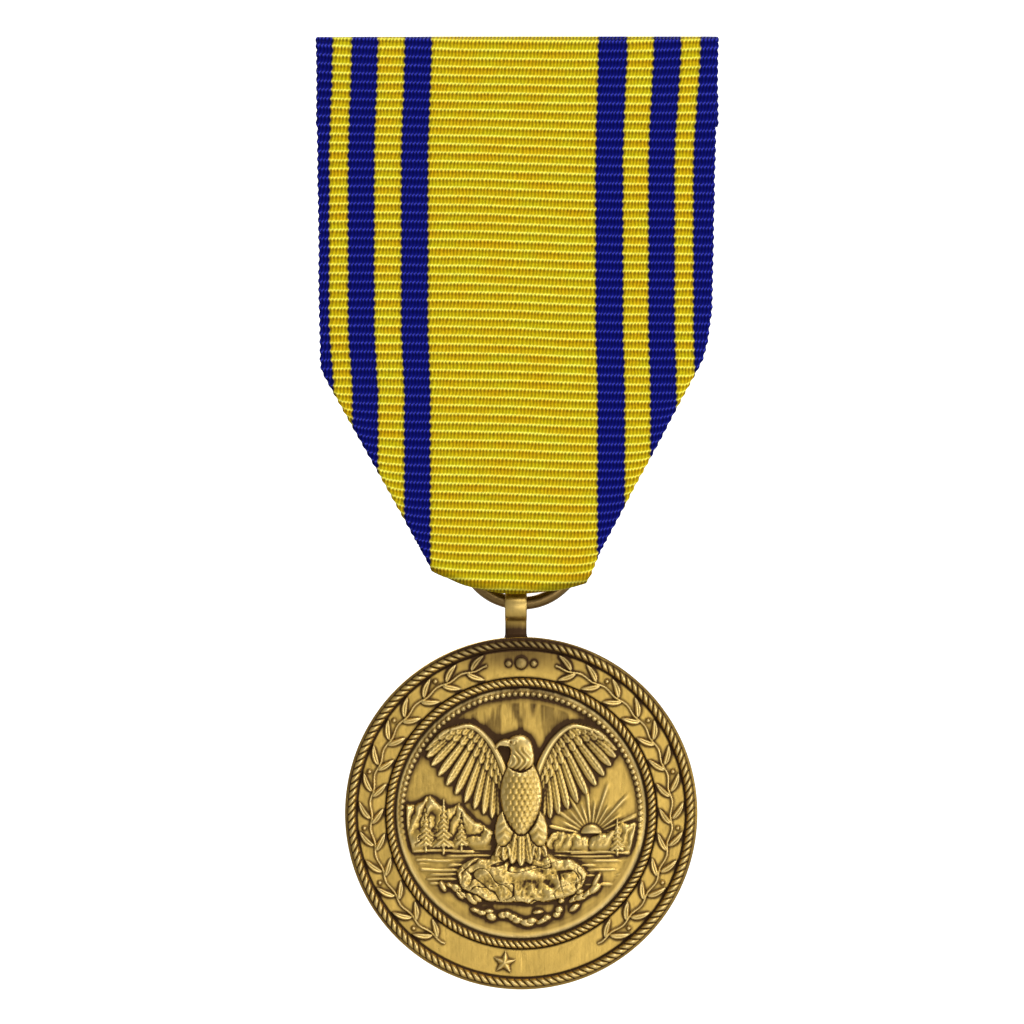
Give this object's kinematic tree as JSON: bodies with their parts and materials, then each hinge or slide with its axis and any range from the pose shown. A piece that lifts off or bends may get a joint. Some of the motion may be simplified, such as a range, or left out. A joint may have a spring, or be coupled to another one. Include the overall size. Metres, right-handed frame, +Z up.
{
  "type": "military service medal",
  "caption": "Round struck bronze medal on a ring and folded striped grosgrain ribbon, with a brass pin-back brooch and turning safety catch.",
  "frame": {"origin": "middle of the brooch's flat back face, which lies against the cloth the medal is pinned to", "axes": "+Z up towards the ribbon's top roll, -Y towards the viewer out of the medal's struck face, +X to the viewer's right"},
  "size_m": [0.0348, 0.0073, 0.083],
  "materials": {
    "planchet": "antiqued struck bronze, dark in the recesses",
    "suspension_eyelet": "antiqued bronze",
    "suspension_ring": "antiqued bronze wire",
    "ribbon": "woven grosgrain, yellow with dark blue stripes",
    "brooch_plate": "satin brass",
    "pin_hinge_lug": "satin brass",
    "pin_hinge_rivet": "satin brass",
    "pin_stem": "nickel silver wire",
    "catch_housing": "satin brass",
    "catch_rotor": "satin brass",
    "sewing_thread": "twisted sewing thread"
  },
  "bodies": {
    "brooch": {"brooch_plate": "brooch_plate", "ribbon": "ribbon", "pin_hinge_lug": "pin_hinge_lug", "pin_hinge_rivet": "pin_hinge_rivet", "catch_housing": "catch_housing", "tail_seam_thread": "sewing_thread", "left_fold_thread": "sewing_thread", "right_fold_thread": "sewing_thread"},
    "ring": {"suspension_ring": "suspension_ring"},
    "medal": {"planchet": "planchet", "suspension_eyelet": "suspension_eyelet"},
    "pin": {"pin_stem": "pin_stem"},
    "catch": {"catch_rotor": "catch_rotor"}
  },
  "joints": [
    {"name": "ring_sway", "type": "hinge", "parent": "brooch", "child": "ring", "pos_m": [0, -0.0013, -0.0391], "axis": [0, -1, 0], "range_deg": [-15, 15]},
    {"name": "planchet_swing", "type": "hinge", "parent": "ring", "child": "medal", "pos_m": [0, -0.0013, -0.04427], "axis": [1, 0, 0], "range_deg": [-90, 90]},
    {"name": "pin_hinge", "type": "hinge", "parent": "brooch", "child": "pin", "pos_m": [-0.0135, 0.0021, -0.0013], "axis": [0, 0, 1], "range_deg": [0, 95]},
    {"name": "catch_turn", "type": "hinge", "parent": "brooch", "child": "catch", "pos_m": [0.0129, 0.0021, -0.0013], "axis": [1, 0, 0], "range_deg": [0, 110]}
  ]
}
